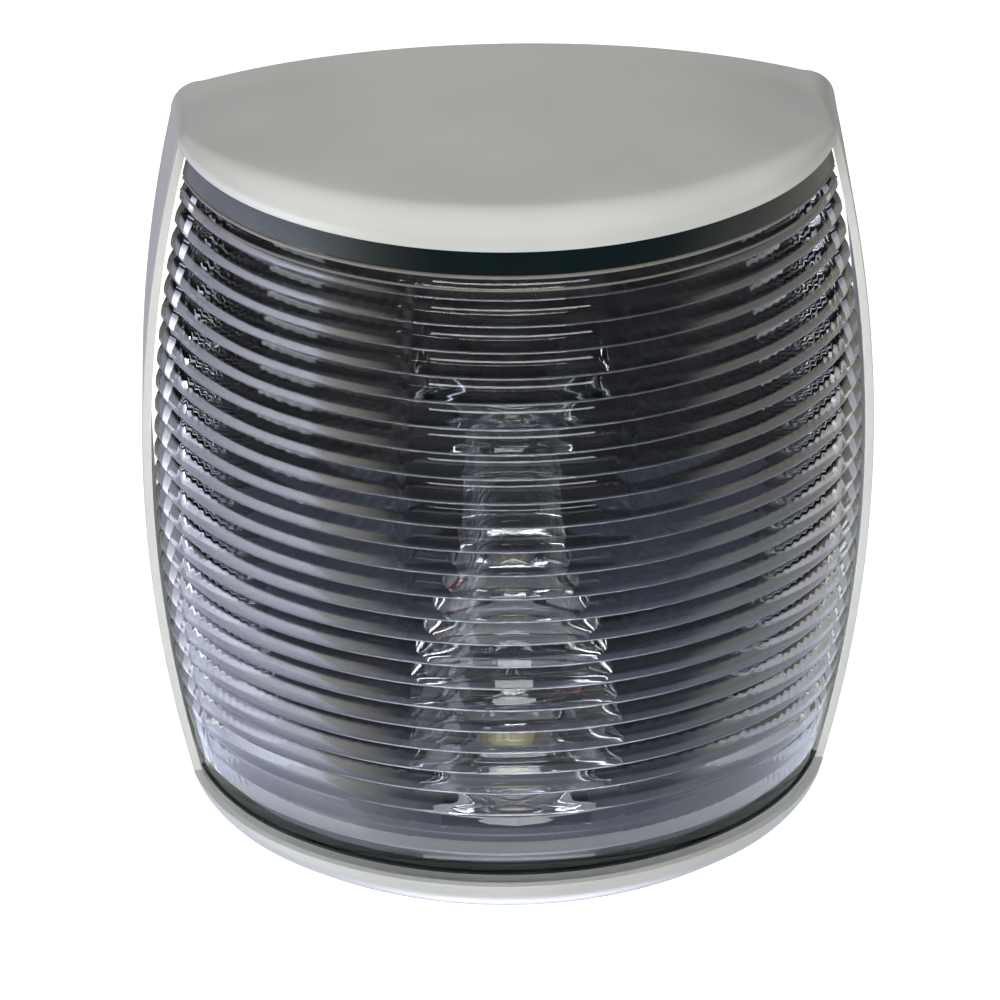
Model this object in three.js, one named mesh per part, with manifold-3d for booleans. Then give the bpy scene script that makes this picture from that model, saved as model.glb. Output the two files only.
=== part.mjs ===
// A small LED navigation light for a boat: a ribbed clear lens on a black tray, with a pull-off white shroud.
// Millimetres, +Z up, the lens faces -Y, and the origin is the centre of the face that meets the bulkhead.
import * as THREE from "three";
import { mergeVertices } from "three/addons/utils/BufferGeometryUtils.js";
import Module from "manifold-3d";

const wasm = await Module();
wasm.setup();

// ---- Driving dimensions ----
const degrees = THREE.MathUtils.degToRad;
const BULGE_RADIUS = 148; // barrel arc of the sides and the front, seen from the front or the side
const CROWN_RADIUS = 180; // arch of the top and bottom caps, seen from the front

// Lens outline in plan: a front arc that runs on into a flatter flank arc on each side.
const LENS_FRONT = 39.1; // how far the lens stands off the bulkhead
const FRONT_ARC = { radius: 37.6, end: degrees(40) };
const FLANK_RADIUS = 29.5;
const LENS_HALF_HEIGHT = 33.6;
const LENS_WALL = 2.6;
const LENS_END_WALL = 1.8;
const RIB_PITCH = 2.5;
const RIB_COUNT = 25;
const RIB_DEPTH = 0.7;

const SHROUD_REACH = 1.5; // how far the caps stand outside the lens outline at the front
const RAIL_REACH = 1; // the same at the front edge of the side rails
const SHROUD_WALL = 0.8;
const SHROUD_TOP = 37.7; // crown of the cap at the middle
const SHROUD_LIP = 34.2; // lower edge of the top cap
const SHROUD_BACK = 0.4; // gap between the shroud and the bulkhead
const RAIL_FRONT = 14; // front edge of the side rails
const EDGE_RADIUS = 3; // rounded edge of the caps
const SHOULDER_RADIUS = 4; // turn from the flank arc into the straight side
const TONGUE = { halfWidth: 6, front: 12, back: 1, low: 33.9 };

const GASKET_THICKNESS = 1;
const TRAY_HALF_WIDTH = 32.6;
const TRAY_HALF_HEIGHT = 33.1;
const TRAY_CORNER = 2;
const TRAY_FRONT = 12.9;
const TRAY_WALL = 2;
const TRAY_FLOOR = 2;
const SEAL_THICKNESS = 0.8;

const CABLE_HOLE = { radius: 5, z: -14 };
const CABLE_BORE = 3.2;
const VENT = { radius: 2.6, z: 15 };
const INSERT = { x: 20, radius: 2.7, length: 4.7, bore: 2.05 };

const BOARD = { halfWidth: 24, halfHeight: 25, back: 4.6, front: 6 };
const BOARD_SCREW = { x: 17, z: 21, shank: 1.1, head: 2 };

const BEZEL = { back: 9, front: 10.2, halfHeight: 30.8, sheet: 1 };
const OPTIC_AXIS = 22; // distance of the light guide's axis from the bulkhead
const LED_BOARD = { radius: 9.9, low: -29.5, high: -28.7 };
const LEAD_X = 6;

const GAP = 0.3;
const ROUND = 24;

// ---- Solids ----
function solidOf(geometry) {
  const bare = geometry.index ? geometry.toNonIndexed() : geometry.clone();
  const position = bare.getAttribute("position");
  const merged = mergeVertices(new THREE.BufferGeometry().setAttribute("position", position), 1e-4);
  return new wasm.Manifold(
    new wasm.Mesh({
      numProp: 3,
      vertProperties: merged.attributes.position.array,
      triVerts: new Uint32Array(merged.index.array),
    }),
  );
}

function geometryOf(solid) {
  const mesh = solid.getMesh();
  const geometry = new THREE.BufferGeometry();
  geometry.setAttribute("position", new THREE.BufferAttribute(mesh.vertProperties.slice(), 3));
  geometry.setIndex(new THREE.BufferAttribute(mesh.triVerts.slice(), 1));
  geometry.computeVertexNormals();
  return geometry;
}

const join = (...solids) => solids.reduce((a, b) => a.add(b));
const cut = (solid, ...tools) => tools.reduce((a, b) => a.subtract(b), solid);

// A box given by its lowest and highest corners.
function box(low, high) {
  const size = high.map((v, i) => v - low[i]);
  const middle = high.map((v, i) => (v + low[i]) / 2);
  return solidOf(new THREE.BoxGeometry(...size).translate(...middle));
}

// A cylinder along Y from y0 to y1 at (x, z).
function rodY(radius, y0, y1, x = 0, z = 0, sides = ROUND) {
  const geometry = new THREE.CylinderGeometry(radius, radius, y1 - y0, sides);
  return solidOf(geometry.translate(x, (y0 + y1) / 2, z));
}

// A cylinder along Z from z0 to z1 at (x, y).
function rodZ(radius, z0, z1, x = 0, y = 0, sides = ROUND) {
  const geometry = new THREE.CylinderGeometry(radius, radius, z1 - z0, sides).rotateX(Math.PI / 2);
  return solidOf(geometry.translate(x, y, (z0 + z1) / 2));
}

// A solid of revolution about the vertical line at (x, y). The profile holds [radius, z] pairs.
function turned(profile, x = 0, y = 0, sides = ROUND) {
  const points = profile.map(([r, z]) => new THREE.Vector2(r, z));
  return solidOf(new THREE.LatheGeometry(points, sides).rotateX(Math.PI / 2).translate(x, y, 0));
}

// A closed solid through a stack of convex rings. Each level is { z, ring } with equally many [x, y] points.
function loft(levels) {
  const count = levels[0].ring.length;
  const positions = [];
  for (const { z, ring } of levels) for (const [x, y] of ring) positions.push(x, y, z);
  const indices = [];
  for (let k = 0; k + 1 < levels.length; k++) {
    for (let i = 0; i < count; i++) {
      const a = k * count + i;
      const b = k * count + ((i + 1) % count);
      indices.push(a, b, b + count, a, b + count, a + count);
    }
  }
  const last = (levels.length - 1) * count;
  for (let i = 1; i + 1 < count; i++) {
    indices.push(0, i + 1, i);
    indices.push(last, last + i, last + i + 1);
  }
  const geometry = new THREE.BufferGeometry();
  geometry.setAttribute("position", new THREE.Float32BufferAttribute(positions, 3));
  geometry.setIndex(indices);
  return solidOf(geometry);
}

// A flat plate: an outline in X and Z, pushed from y0 back to y1.
function plate(outline, y0, y1) {
  const shape = new THREE.Shape(outline.map(([x, z]) => new THREE.Vector2(x, z)));
  const geometry = new THREE.ExtrudeGeometry(shape, { depth: y1 - y0, bevelEnabled: false });
  return solidOf(geometry.rotateX(Math.PI / 2).translate(0, y1, 0));
}

// ---- Outlines ----
const bulge = (z) => BULGE_RADIUS - Math.sqrt(BULGE_RADIUS ** 2 - z * z);
const crown = (x) => CROWN_RADIUS - Math.sqrt(CROWN_RADIUS ** 2 - x * x);
const steps = (from, to, count) => Array.from({ length: count + 1 }, (_, i) => from + ((to - from) * i) / count);

const FRONT_CENTRE = { x: 0, y: FRONT_ARC.radius - LENS_FRONT };
const FLANK_CENTRE = {
  x: (FRONT_ARC.radius - FLANK_RADIUS) * Math.sin(FRONT_ARC.end),
  y: FRONT_CENTRE.y - (FRONT_ARC.radius - FLANK_RADIUS) * Math.cos(FRONT_ARC.end),
};

// The point of the right half of the lens outline whose normal is turned by angle from -Y, moved out by reach.
function lensPoint(angle, reach) {
  const onFlank = angle > FRONT_ARC.end;
  const centre = onFlank ? FLANK_CENTRE : FRONT_CENTRE;
  const radius = (onFlank ? FLANK_RADIUS : FRONT_ARC.radius) + reach;
  return [centre.x + radius * Math.sin(angle), centre.y - radius * Math.cos(angle)];
}

// The angle at which the outline moved out by reach meets the plane y = -back.
const angleAt = (back, reach) => Math.acos((back + FLANK_CENTRE.y) / (FLANK_RADIUS + reach));

// The whole outline from its right half, which runs from the back to the middle of the front.
function wholeRing(half) {
  const right = half.slice(0, -1);
  return [...right.map(([x, y]) => [-x, y]), half[half.length - 1], ...right.reverse()];
}

// The lens outline in plan, counter-clockwise from above, cut off straight at y = -back.
function lensRing(reach, back, count = 9) {
  return wholeRing(steps(angleAt(back, reach), 0, count).map((angle) => lensPoint(angle, reach)));
}

// The shroud outline in plan: the lens outline moved out by a reach that shrinks from the front to the rails,
// then a rounded shoulder and straight sides back to y = -back.
function shroudRing(inset, back, count = 10) {
  const end = angleAt(RAIL_FRONT, RAIL_REACH - inset);
  const reachAt = (angle) => SHROUD_REACH + (RAIL_REACH - SHROUD_REACH) * (angle / end) ** 2 - inset;
  const flank = steps(end, 0, count).map((angle) => lensPoint(angle, reachAt(angle)));
  const [endX, endY] = flank[0];
  const centreX = endX - SHOULDER_RADIUS * Math.sin(end);
  const centreY = endY + SHOULDER_RADIUS * Math.cos(end);
  const turn = steps(Math.PI / 2, end, 3).slice(0, -1);
  const shoulder = turn.map((a) => [centreX + SHOULDER_RADIUS * Math.sin(a), centreY - SHOULDER_RADIUS * Math.cos(a)]);
  return wholeRing([[shoulder[0][0], -back], ...shoulder, ...flank]);
}

// The barrel-sided outline of the tray, its gasket and its seal, seen from the front.
function trayOutline(inset) {
  const top = TRAY_HALF_HEIGHT - inset;
  const straight = top - TRAY_CORNER;
  const side = steps(-straight, straight, 10).map((z) => [TRAY_HALF_WIDTH - inset - bulge(z), z]);
  const centreX = side[side.length - 1][0] - TRAY_CORNER;
  const turn = steps(0, Math.PI / 2, 4).slice(1);
  const corner = (a, up) => [centreX + TRAY_CORNER * Math.cos(a), up * (straight + TRAY_CORNER * Math.sin(a))];
  const right = [...turn.map((a) => corner(a, -1)).reverse(), ...side, ...turn.map((a) => corner(a, 1))];
  return [...right, ...right.map(([x, z]) => [-x, z]).reverse()];
}

// The four corners of a rectangle in X and Z.
const corners = (x, z) => [[-x, -z], [x, -z], [x, z], [-x, z]];
const sides = [-1, 1];

// ---- Materials ----
const finish = (color, roughness, metalness = 0) => new THREE.MeshStandardMaterial({ color, roughness, metalness });
const whiteShell = finish(0xe4e4e0, 0.3);
const clear = new THREE.MeshStandardMaterial({ color: 0xdfe4ee, roughness: 0.05, transparent: true, opacity: 0.35 });
const blackNylon = finish(0x17181a, 0.55);
const darkBezel = finish(0x2b2d33, 0.45);
const rubber = finish(0x141a1a, 0.8);
const aluminium = finish(0xb9bcc0, 0.35, 1);
const steel = finish(0xc8c8ca, 0.25, 1);
const brass = finish(0xb08d3e, 0.35, 1);
const board = finish(0x1d4d33, 0.5);
const whiteBoard = finish(0xe9e9e6, 0.4);
const phosphor = finish(0xe8a53a, 0.5);
const blackEpoxy = finish(0x26262a, 0.6);
const redWire = finish(0x9f1d1a, 0.5);
const blackWire = finish(0x101010, 0.5);
const silvered = finish(0xd9dbe0, 0.1, 1);

const light = new THREE.Group();

function add(name, solid, material) {
  const mesh = new THREE.Mesh(geometryOf(solid), material.clone());
  mesh.name = name;
  light.add(mesh);
}

// ---- Shroud: top and bottom caps on two side rails, one moulding that pulls off forwards ----

// The body inside the shroud's outline, with the rounded edges of the caps. Inset moves its whole surface in.
function shroudBody(inset, back) {
  const top = SHROUD_TOP - inset;
  const edge = EDGE_RADIUS - inset;
  const half = steps(0, top - edge, 6).map((z) => ({ z, inset: inset + bulge(z) }));
  for (const a of steps(0, Math.PI / 2, 4).slice(1)) {
    const z = top - edge + edge * Math.sin(a);
    half.push({ z, inset: inset + bulge(z) + edge * (1 - Math.cos(a)) });
  }
  const lower = half.slice(1).map((level) => ({ z: -level.z, inset: level.inset }));
  return loft([...lower.reverse(), ...half].map((level) => ({ z: level.z, ring: shroudRing(level.inset, back) })));
}

// A slab with an arched top and bottom, which gives the caps their crown.
function crownSlab(top) {
  const arch = steps(-45, 45, 30).map((x) => [x, top - crown(x)]);
  return plate([...arch, ...arch.map(([x, z]) => [x, -z]).reverse()], -60, 5);
}

function makeShroud() {
  const innerTop = SHROUD_TOP - SHROUD_WALL;
  const outside = shroudBody(0, SHROUD_BACK).intersect(crownSlab(SHROUD_TOP));
  const inside = shroudBody(SHROUD_WALL, -2).intersect(crownSlab(innerTop));
  const shell = cut(outside, inside);
  const front = box([-60, -60, -SHROUD_LIP], [60, -RAIL_FRONT, SHROUD_LIP]);
  const tongues = sides.map((side) => {
    const ends = [side * TONGUE.low, side * (innerTop + GAP)].sort((a, b) => a - b);
    return box([-TONGUE.halfWidth, -TONGUE.front, ends[0]], [TONGUE.halfWidth, -TONGUE.back, ends[1]]);
  });
  return join(cut(shell, front), ...tongues);
}

// ---- Lens: a clear shell with horizontal ribs on its outside ----
const LENS_BACK = TRAY_FRONT + SEAL_THICKNESS + 2 * GAP;

function makeLens() {
  const firstRib = -(RIB_COUNT * RIB_PITCH) / 2;
  const levels = [{ z: -LENS_HALF_HEIGHT, reach: 0 }, { z: firstRib, reach: -RIB_DEPTH }];
  for (let i = 0; i < RIB_COUNT; i++) {
    levels.push({ z: firstRib + (i + 0.5) * RIB_PITCH, reach: 0 });
    levels.push({ z: firstRib + (i + 1) * RIB_PITCH, reach: -RIB_DEPTH });
  }
  levels.push({ z: LENS_HALF_HEIGHT, reach: 0 });
  const outside = levels.map(({ z, reach }) => ({ z, ring: lensRing(reach - bulge(z), LENS_BACK) }));
  const innerHalf = LENS_HALF_HEIGHT - LENS_END_WALL;
  const heights = steps(-innerHalf, innerHalf, 10);
  const inside = heights.map((z) => ({ z, ring: lensRing(-LENS_WALL - bulge(z), LENS_BACK - 2) }));
  return cut(loft(outside), loft(inside));
}

// The seal between the tray's front edge and the lens.
function makeSeal() {
  const y0 = -TRAY_FRONT - GAP - SEAL_THICKNESS;
  const y1 = -TRAY_FRONT - GAP;
  return cut(plate(trayOutline(0.3), y0, y1), plate(trayOutline(TRAY_WALL), y0 - 1, y1 + 1));
}

// ---- Tray: the black moulding that carries everything ----
const TRAY_BACK = GASKET_THICKNESS + GAP;
const TRAY_INSIDE = TRAY_BACK + TRAY_FLOOR;

const BOSS_WALL = 2.1;
const POST_RADIUS = 2.2;
const FENCE = { x: TONGUE.halfWidth + 1.3, half: 0.7, rise: 1.4 }; // the ribs on each side of a tongue

function makeTray() {
  const body = plate(trayOutline(0), -TRAY_FRONT, -TRAY_BACK);
  const pocket = plate(trayOutline(TRAY_WALL), -TRAY_FRONT - 1, -TRAY_INSIDE);
  const bosses = sides.map((side) =>
    rodY(INSERT.radius + BOSS_WALL, -TRAY_BACK - 6, -TRAY_BACK - 0.5, side * INSERT.x),
  );
  const posts = corners(BOARD_SCREW.x, BOARD_SCREW.z).map(([x, z]) =>
    rodY(POST_RADIUS, GAP - BOARD.back, -TRAY_BACK - 0.5, x, z, 16),
  );
  const guides = corners(FENCE.x, 1).map(([x, up]) => {
    const ends = [up * (TRAY_HALF_HEIGHT - 1), up * (TONGUE.low + FENCE.rise)].sort((a, b) => a - b);
    return box([x - FENCE.half, -TRAY_FRONT + 1, ends[0]], [x + FENCE.half, -TRAY_BACK, ends[1]]);
  });
  const insertHoles = sides.map((side) => rodY(INSERT.radius + GAP, -TRAY_BACK - 5, 0, side * INSERT.x));
  const pilotHoles = corners(BOARD_SCREW.x, BOARD_SCREW.z).map(([x, z]) =>
    rodY(BOARD_SCREW.shank + GAP, -BOARD.back, -TRAY_BACK - 0.8, x, z, 16),
  );
  const cableHole = rodY(CABLE_HOLE.radius, -TRAY_FRONT, 0, 0, CABLE_HOLE.z);
  const ventHole = rodY(VENT.radius, -TRAY_FRONT, 0, 0, VENT.z);
  const solid = join(cut(body, pocket), ...bosses, ...posts, ...guides);
  return cut(solid, cableHole, ventHole, ...insertHoles, ...pilotHoles);
}

function makeGasket() {
  const holes = sides.map((side) => rodY(INSERT.radius + 0.8, -5, 5, side * INSERT.x));
  const cableHole = rodY(CABLE_HOLE.radius + 0.8, -5, 5, 0, CABLE_HOLE.z);
  const ventHole = rodY(VENT.radius + 0.6, -5, 5, 0, VENT.z);
  return cut(plate(trayOutline(0.5), -GASKET_THICKNESS, 0), cableHole, ventHole, ...holes);
}

// The rubber grommet that the supply cable passes through, with a lip inside the tray.
function makeGrommet() {
  const sleeve = rodY(CABLE_HOLE.radius - GAP, -TRAY_INSIDE - 0.7, -0.3, 0, CABLE_HOLE.z);
  const lip = rodY(CABLE_HOLE.radius + 1.4, -TRAY_INSIDE - 1, -TRAY_INSIDE - GAP, 0, CABLE_HOLE.z);
  return cut(join(sleeve, lip), rodY(CABLE_BORE, -30, 10, 0, CABLE_HOLE.z));
}

// The breathable plug that lets the housing's pressure even out.
function makeVentPlug() {
  const stem = rodY(VENT.radius - GAP, -TRAY_INSIDE - 0.5, -0.3, 0, VENT.z, 24);
  const head = rodY(VENT.radius + 1, -TRAY_INSIDE - 1, -TRAY_INSIDE - GAP, 0, VENT.z, 24);
  return cut(join(stem, head), rodY(0.6, -30, 10, 0, VENT.z, 16));
}

// A threaded insert, open at the back and blind at the front.
function makeInsert(side) {
  const front = -TRAY_BACK - INSERT.length;
  const barrel = rodY(INSERT.radius, front, -TRAY_BACK - 0.1, side * INSERT.x);
  const groove = cut(
    rodY(INSERT.radius + 1, front + 1.8, front + 2.6, side * INSERT.x),
    rodY(INSERT.radius - 0.4, front, 0, side * INSERT.x),
  );
  return cut(barrel, groove, rodY(INSERT.bore, front + 0.6, 0, side * INSERT.x, 0, 20));
}

// ---- Driver board and its components, behind the bezel ----
function makeDriverBoard() {
  const slab = box([-BOARD.halfWidth, -BOARD.front, -BOARD.halfHeight], [BOARD.halfWidth, -BOARD.back, BOARD.halfHeight]);
  const screwHoles = corners(BOARD_SCREW.x, BOARD_SCREW.z).map(([x, z]) => rodY(1.4, -20, 0, x, z, 16));
  const bossHoles = sides.map((side) => rodY(INSERT.radius + 2.5, -20, 0, side * INSERT.x));
  const cableHole = rodY(CABLE_HOLE.radius - 0.5, -20, 0, 0, CABLE_HOLE.z);
  return cut(slab, ...screwHoles, ...bossHoles, cableHole);
}

// A pan-head screw along Y with its head towards the front.
function makeBoardScrew([x, z]) {
  const seat = -BOARD.front - 0.1;
  const head = rodY(BOARD_SCREW.head, seat - 1.1, seat, x, z, 16);
  const shank = rodY(BOARD_SCREW.shank, seat - 0.2, -TRAY_BACK - 1.1, x, z, 16);
  const slot = box([x - 1.4, seat - 1.3, z - 0.25], [x + 1.4, seat - 0.6, z + 0.25]);
  const cross = box([x - 0.25, seat - 1.3, z - 1.4], [x + 0.25, seat - 0.6, z + 1.4]);
  return cut(join(head, shank), slot, cross);
}

// A part that stands on the front of the driver board, from its board face forwards by height.
const onBoard = (x, z, halfWidth, halfHeight, height) =>
  box([x - halfWidth, -BOARD.front - GAP - height, z - halfHeight], [x + halfWidth, -BOARD.front - GAP, z + halfHeight]);

function makeTerminalBlock() {
  const body = onBoard(0, -2.5, 7, 3.2, 2.3);
  const wells = [-3.4, 3.4].map((x) => rodY(1.5, -20, -BOARD.front - GAP - 1.1, x, -2.5, 20));
  const mouths = [-3.4, 3.4].map((x) => box([x - 1.4, -8.1, -6.5], [x + 1.4, -7, -4.6]));
  return cut(body, ...wells, ...mouths);
}

function makeInductor() {
  const base = onBoard(-8, 13, 4.4, 4.4, 1);
  const drum = rodY(4, -BOARD.front - GAP - 2.2, -BOARD.front - GAP - 0.5, -8, 13, 20);
  return join(base, drum);
}

function makeCapacitor(z) {
  const base = onBoard(9, z, 2.6, 2.6, 0.5);
  return join(base, rodY(2.3, -BOARD.front - GAP - 2.3, -BOARD.front - GAP - 0.3, 9, z, 18));
}

// The regulator chip with its row of legs on each side.
function makeRegulator() {
  const body = onBoard(0, 7, 2.2, 2.6, 1.3);
  const legs = [];
  for (let i = 0; i < 4; i++) legs.push(onBoard(0, 5.1 + i * 1.27, 3.2, 0.22, 0.5));
  return join(body, ...legs);
}

// ---- Dark bezel: a back plate in the tray with a floor and a ceiling that run out under the lens's ends ----
function makeBezel() {
  const { back, front, halfHeight, sheet } = BEZEL;
  const floorTop = -halfHeight + sheet;
  const levels = steps(-halfHeight, halfHeight, 8).map((z) => ({
    z,
    ring: lensRing(-LENS_WALL - 2 * GAP - bulge(z), back),
  }));
  const body = loft(levels).intersect(plate(trayOutline(TRAY_WALL + GAP), -60, 0));
  const room = box([-60, -60, floorTop], [60, -front, -floorTop]);
  const shelfSlot = box([-7.3, -31.3, -40], [7.3, -8, floorTop + 0.1]);
  const leadHoles = sides.map((side) => rodY(1.2, -20, 0, side * LEAD_X, -20, 16));
  return cut(body, room, shelfSlot, ...leadHoles);
}

// ---- The light source: heat spreader, LED board, LED, and the hourglass light guide above it ----

// An aluminium angle whose foot lies in the bezel's floor and whose back stands behind the bezel.
function makeSpreader() {
  const shelfTop = LED_BOARD.low - GAP;
  const foot = box([-7, -31, -30.7], [7, -7.8, shelfTop]);
  const upright = box([-7, -8.7, -30.7], [7, -7.8, -26.5]);
  return join(foot, upright);
}

function makeLedBoard() {
  const disc = rodZ(LED_BOARD.radius, LED_BOARD.low, LED_BOARD.high, 0, -OPTIC_AXIS);
  const holes = sides.map((side) => rodZ(1.1, -40, 0, side * LED_SCREW_X, -OPTIC_AXIS, 20));
  return cut(disc, ...holes);
}

const LED_SCREW_X = 5.4;

function makeLedScrew(side) {
  const seat = LED_BOARD.high + 0.1;
  const x = side * LED_SCREW_X;
  const head = rodZ(1.7, seat, seat + 1, x, -OPTIC_AXIS, 16);
  const shank = rodZ(0.8, LED_BOARD.low - GAP + 0.05, seat + 0.2, x, -OPTIC_AXIS, 16);
  const slot = box([x - 2, -OPTIC_AXIS - 0.25, seat + 0.5], [x + 2, -OPTIC_AXIS + 0.25, seat + 2]);
  return cut(join(head, shank), slot);
}

function makeLedChip() {
  const foot = LED_BOARD.high + GAP;
  const base = box([-2.4, -OPTIC_AXIS - 2.4, foot], [2.4, -OPTIC_AXIS + 2.4, foot + 0.5]);
  const dome = turned([[0, foot + 0.3], [2, foot + 0.3], [1.8, foot + 1.1], [1.1, foot + 1.8], [0, foot + 2.1]], 0, -OPTIC_AXIS, 24);
  return join(base, dome);
}

// A clear bell that narrows to a neck, swells to a collar, and opens into a dish.
const GUIDE_FOOT = LED_BOARD.high + 0.5;

function makeLightGuide() {
  const profile = [
    [0, 4.6],
    [3.2, 3.4],
    [4, 1.8],
    [7.6, 1.6],
    [8, 0],
    [10.6, 0],
    [11, 1],
    [10.6, 4],
    [9.4, 8],
    [7.6, 12.5],
    [5.8, 18.04],
    [4.9, 22.96],
    [4.6, 30.34],
    [5, 33.8],
    [5.8, 34.8],
    [5.8, 36.8],
    [5, 37.8],
    [6.4, 39.1],
    [9.1, 40.4],
    [9.3, 42],
    [8.7, 42.4],
    [4, 39.6],
    [0, 36.4],
  ];
  const guide = turned(profile.map(([r, z]) => [r, GUIDE_FOOT + z]), 0, -OPTIC_AXIS, 24);
  const leadNotch = box([-8.4, -16.2, GUIDE_FOOT - 1], [8.4, -8, GUIDE_FOOT + 1.9]);
  return cut(guide, leadNotch);
}

// The silvered cone that sits in the light guide's dish and turns the light sideways.
function makeReflector() {
  const profile = [
    [0, 37],
    [3.8, 39.9],
    [8.5, 42.75],
    [8.7, 43.3],
    [8.2, 43.4],
    [3.4, 41],
    [0, 39.2],
  ];
  return turned(profile.map(([r, z]) => [r, GUIDE_FOOT + z]), 0, -OPTIC_AXIS, 24);
}

// A round wire along a smooth route.
function wireAlong(points, radius) {
  const curve = new THREE.CatmullRomCurve3(points.map((p) => new THREE.Vector3(...p)));
  const around = steps(0, 2 * Math.PI, 8).slice(0, -1);
  const section = new THREE.Shape(around.map((a) => new THREE.Vector2(radius * Math.cos(a), radius * Math.sin(a))));
  return solidOf(new THREE.ExtrudeGeometry(section, { steps: 16, extrudePath: curve, bevelEnabled: false }));
}

// The lead from the driver board through the bezel to the LED board.
function makeLead(side) {
  const route = [
    [side * LEAD_X, -6.6, -20],
    [side * LEAD_X, -8.5, -20],
    [side * LEAD_X, -11.5, -20],
    [side * LEAD_X, -12.3, -21.5],
    [side * (LEAD_X + 0.5), -11.9, -25],
    [side * (LEAD_X + 0.5), -12.6, -27.4],
    [side * (LEAD_X + 0.4), -15.2, -27.8],
  ];
  return wireAlong(route, 0.5);
}

// ---- The assembly ----
add("shroud", makeShroud(), whiteShell);
add("lens", makeLens(), clear);
add("lens_seal", makeSeal(), rubber);
add("base_tray", makeTray(), blackNylon);
add("mounting_gasket", makeGasket(), rubber);
add("cable_grommet", makeGrommet(), rubber);
add("vent_plug", makeVentPlug(), rubber);
add("mounting_insert_left", makeInsert(-1), brass);
add("mounting_insert_right", makeInsert(1), brass);
add("driver_board", makeDriverBoard(), board);
corners(BOARD_SCREW.x, BOARD_SCREW.z).forEach((place, i) => add(`board_screw_${i + 1}`, makeBoardScrew(place), steel));
add("terminal_block", makeTerminalBlock(), blackEpoxy);
add("driver_inductor", makeInductor(), blackEpoxy);
add("driver_regulator", makeRegulator(), blackEpoxy);
add("driver_capacitor_1", makeCapacitor(11), aluminium);
add("driver_capacitor_2", makeCapacitor(17.5), aluminium);
add("inner_bezel", makeBezel(), darkBezel);
add("heat_spreader", makeSpreader(), aluminium);
add("led_board", makeLedBoard(), whiteBoard);
add("led_chip", makeLedChip(), phosphor);
sides.forEach((side, i) => add(`led_screw_${i + 1}`, makeLedScrew(side), steel));
add("light_guide", makeLightGuide(), clear);
add("top_reflector", makeReflector(), silvered);
add("led_lead_red", makeLead(1), redWire);
add("led_lead_black", makeLead(-1), blackWire);

export default light;
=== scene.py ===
"""Looks of a small LED navigation light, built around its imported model. Lengths are in metres."""

import math

import bmesh
import bpy
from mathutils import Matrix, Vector


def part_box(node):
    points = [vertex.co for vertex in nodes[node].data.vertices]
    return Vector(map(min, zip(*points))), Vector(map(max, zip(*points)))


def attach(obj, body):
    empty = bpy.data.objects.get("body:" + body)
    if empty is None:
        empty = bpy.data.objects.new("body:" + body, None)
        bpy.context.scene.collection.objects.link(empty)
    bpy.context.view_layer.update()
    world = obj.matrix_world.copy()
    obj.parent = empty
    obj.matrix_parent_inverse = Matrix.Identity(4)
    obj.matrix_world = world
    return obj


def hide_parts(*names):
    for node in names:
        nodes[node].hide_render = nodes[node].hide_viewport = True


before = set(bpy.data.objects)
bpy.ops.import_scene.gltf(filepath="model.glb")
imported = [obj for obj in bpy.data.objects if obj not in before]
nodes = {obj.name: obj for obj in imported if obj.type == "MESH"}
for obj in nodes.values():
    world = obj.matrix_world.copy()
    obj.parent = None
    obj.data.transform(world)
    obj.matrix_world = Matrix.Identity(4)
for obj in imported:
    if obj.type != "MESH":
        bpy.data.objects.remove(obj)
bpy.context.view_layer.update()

# ---- Sizes ----
MM = 0.001
BULGE_RADIUS = 148 * MM  # barrel arc of the sides and the front
CROWN_RADIUS = 146 * MM  # arch of the caps at the bulkhead
CROWN_LOSS = 0.7  # share of the arch that is lost towards the front
CROWN_LOST_BY = 30 * MM  # distance from the bulkhead at which it is lost
FRONT_ARC = (37.6 * MM, math.radians(40))  # plan of the lens: front radius, and where the flanks begin
FLANK_RADIUS = 29.5 * MM
LENS_LOW, LENS_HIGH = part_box("lens")
LENS_FRONT = -LENS_LOW.y
LENS_BACK = -LENS_HIGH.y
LENS_HALF = 33.6 * MM
LENS_WALL = 2.6 * MM
LENS_END_WALL = 1.8 * MM
RIB_PITCH = 2.5 * MM
RIB_COUNT = 25
RIB_DEPTH = 0.4 * MM
RIB_NOSE = 0.18  # share of the pitch taken by the rounded lower edge of a rib
RIB_FLAT = 0.46  # share at which its face starts to slope in
RIB_SLOPE_POWER = 1.4
FLAT_BELOW = -27 * MM  # the lowest ribs are almost flat
FLAT_DEPTH = 0.18  # share of the rib depth that they keep
FLUTE_DEPTH = 0.16 * MM
FLUTED = (math.radians(17), math.radians(62))  # the flanks of the lens are fluted inside

SHROUD_TOP = 37.7 * MM
SHROUD_BACK = -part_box("shroud")[1].y
SHROUD_REACH = 1.5 * MM  # of the caps, outside the lens outline at the front
RAIL_REACH = 1.0 * MM  # the same at the front edge of the side rails
SHROUD_WALL = 0.8 * MM
SHROUD_LIP = 34.2 * MM
RAIL_FRONT = 14 * MM
EDGE_RADIUS = 3.0 * MM
EDGE_FULL_AT = 5 * MM  # distance from the bulkhead at which the caps' edge reaches its full radius
LEAST_STEP = 0.15 * MM  # least height left between the lip of a cap and its edge
SHROUD_BEVEL = 0.3 * MM
SHOULDER_RADIUS = 4 * MM
TONGUE_LOW = 33.9 * MM
TONGUE_HALF_WIDTH = 6 * MM
TONGUE_DEPTHS = (-12 * MM, -1 * MM)
TONGUE_SINKS = 0.2 * MM  # into the cap's wall
TONGUE_EDGE = 0.3 * MM

BEZEL_LOW, BEZEL_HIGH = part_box("inner_bezel")
OPTIC_Y = (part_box("light_guide")[0].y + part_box("light_guide")[1].y) / 2
GUIDE_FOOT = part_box("light_guide")[0].z

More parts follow.
